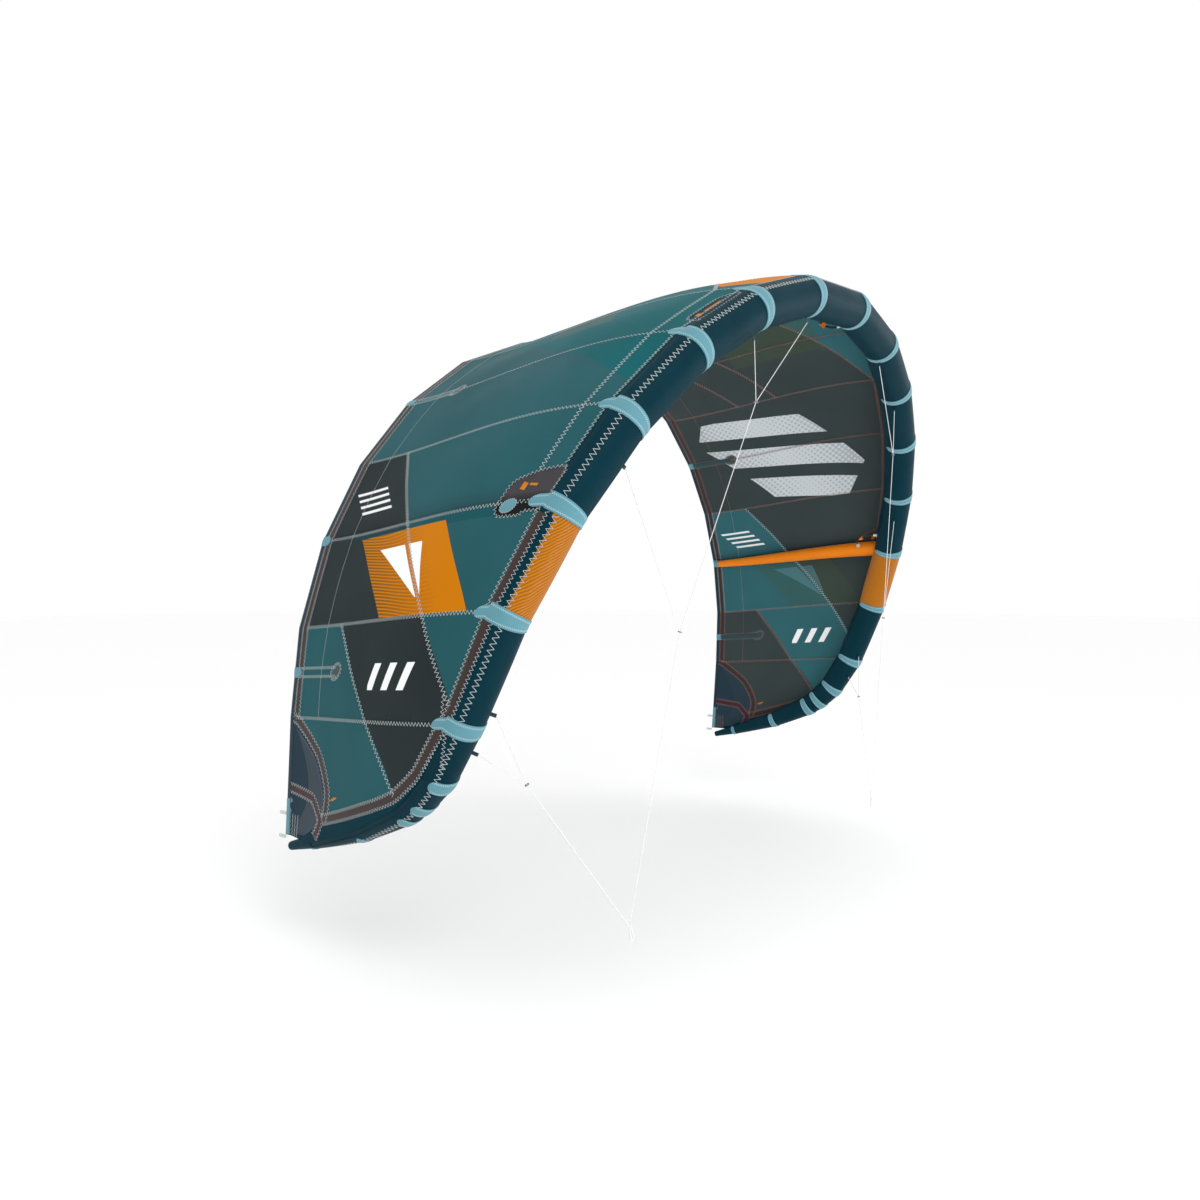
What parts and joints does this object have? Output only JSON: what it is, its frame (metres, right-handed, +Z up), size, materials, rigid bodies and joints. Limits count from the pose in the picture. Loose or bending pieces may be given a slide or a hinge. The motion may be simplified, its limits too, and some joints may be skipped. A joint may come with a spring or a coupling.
{
  "type": "kitesurf kite",
  "caption": "Inflated crescent kite with a swept tubular leading edge, three struts, a stretched two-colour canopy and a bridle under each wing.",
  "frame": {"origin": "centre of the leading edge tube in the middle of the kite", "axes": "+X along the span to the right wing, +Y from leading edge to trailing edge, +Z up out of the canopy"},
  "size_m": [3.8222, 1.8415, 2.7024],
  "materials": {
    "canopy_fabric": "thin woven ripstop",
    "sleeve_fabric": "smooth coated weave",
    "accent_fabric": "smooth coated weave",
    "band_fabric": "smooth coated weave",
    "hem_fabric": "smooth coated weave",
    "bladder_film": "translucent film",
    "batten_rod": "glass fibre rod",
    "line_white": "braided line",
    "webbing": "flat webbing",
    "ring_alloy": "satin",
    "valve_plastic": "moulded",
    "clip_plastic": "moulded",
    "rubber_black": "smooth"
  },
  "bodies": {
    "kite": {"batten_pockets": "hem_fabric", "bridle_centre_line_left": "line_white", "bridle_centre_line_right": "line_white", "bridle_main_line_left": "line_white", "bridle_main_line_right": "line_white", "bridle_rings": "ring_alloy", "bridle_shoulder_line_left": "line_white", "bridle_shoulder_line_right": "line_white", "bridle_strut_line_left": "line_white", "bridle_strut_line_right": "line_white", "bridle_tabs": "webbing", "bridle_tip_line_left": "line_white", "bridle_tip_line_right": "line_white", "canopy_centre_panel_left": "canopy_fabric", "canopy_centre_panel_right": "canopy_fabric", "canopy_inner_panel_left": "canopy_fabric", "canopy_inner_panel_right": "canopy_fabric", "canopy_middle_panel_left": "canopy_fabric", "canopy_middle_panel_right": "canopy_fabric", "canopy_outer_panel_left": "canopy_fabric", "canopy_outer_panel_right": "canopy_fabric", "canopy_tip_panel_left": "canopy_fabric", "canopy_tip_panel_right": "canopy_fabric", "hose_clips": "clip_plastic", "hose_fittings": "valve_plastic", "inflate_valve_body": "valve_plastic", "leading_edge_accent_sleeve_left": "accent_fabric", "leading_edge_accent_sleeve_right": "accent_fabric", "leading_edge_bladder": "bladder_film", "leading_edge_centre_sleeve_left": "sleeve_fabric", "leading_edge_centre_sleeve_right": "sleeve_fabric", "leading_edge_middle_sleeve_left": "sleeve_fabric", "leading_edge_middle_sleeve_right": "sleeve_fabric", "leading_edge_shoulder_sleeve_left": "sleeve_fabric", "leading_edge_shoulder_sleeve_right": "sleeve_fabric", "leading_edge_tip_ends": "band_fabric", "leading_edge_tip_sleeve_left": "sleeve_fabric", "leading_edge_tip_sleeve_right": "sleeve_fabric", "mini_battens": "batten_rod", "one_pump_hoses": "rubber_black", "rear_line_tabs": "webbing", "seam_bands": "band_fabric", "strut_bladder_centre": "bladder_film", "strut_bladder_left": "bladder_film", "strut_bladder_right": "bladder_film", "strut_end_caps": "band_fabric", "strut_sleeve_centre": "sleeve_fabric", "strut_sleeve_left": "sleeve_fabric", "strut_sleeve_right": "sleeve_fabric", "tow_loops": "line_white", "trailing_edge_hem": "hem_fabric", "wingtip_patch_left": "hem_fabric", "wingtip_patch_right": "hem_fabric"},
    "inflate_cap": {"inflate_valve_cap": "valve_plastic"},
    "inflate_flap": {"inflate_valve_flap": "rubber_black"},
    "lever_left": {"clip_lever_left": "clip_plastic"},
    "lever_centre": {"clip_lever_centre": "clip_plastic"},
    "lever_right": {"clip_lever_right": "clip_plastic"}
  },
  "joints": [
    {"name": "inflate_cap_hinge", "type": "hinge", "parent": "kite", "child": "inflate_cap", "pos_m": [-1.00952, 0.21132, -0.34454], "axis": [-0.8218, 0.1886, -0.5376], "range_deg": [-110, 0]},
    {"name": "valve_flap_hinge", "type": "hinge", "parent": "kite", "child": "inflate_flap", "pos_m": [-1.0188, 0.18825, -0.33845], "axis": [-0.8218, 0.1886, -0.5376], "range_deg": [-40, 0], "stiffness_Nm_per_rad": 0.002},
    {"name": "clip_lever_left_hinge", "type": "hinge", "parent": "kite", "child": "lever_left", "pos_m": [-1.58655, 0.51795, -0.95365], "axis": [0.3468, 0.5189, 0.7813], "range_deg": [-95, 0]},
    {"name": "clip_lever_centre_hinge", "type": "hinge", "parent": "kite", "child": "lever_centre", "pos_m": [0.08851, 0.16756, -0.02985], "axis": [0.9029, 0.4295, 0.0163], "range_deg": [-95, 0]},
    {"name": "clip_lever_right_hinge", "type": "hinge", "parent": "kite", "child": "lever_right", "pos_m": [1.58655, 0.51795, -0.95365], "axis": [0.3468, -0.5189, -0.7813], "range_deg": [-95, 0]}
  ]
}
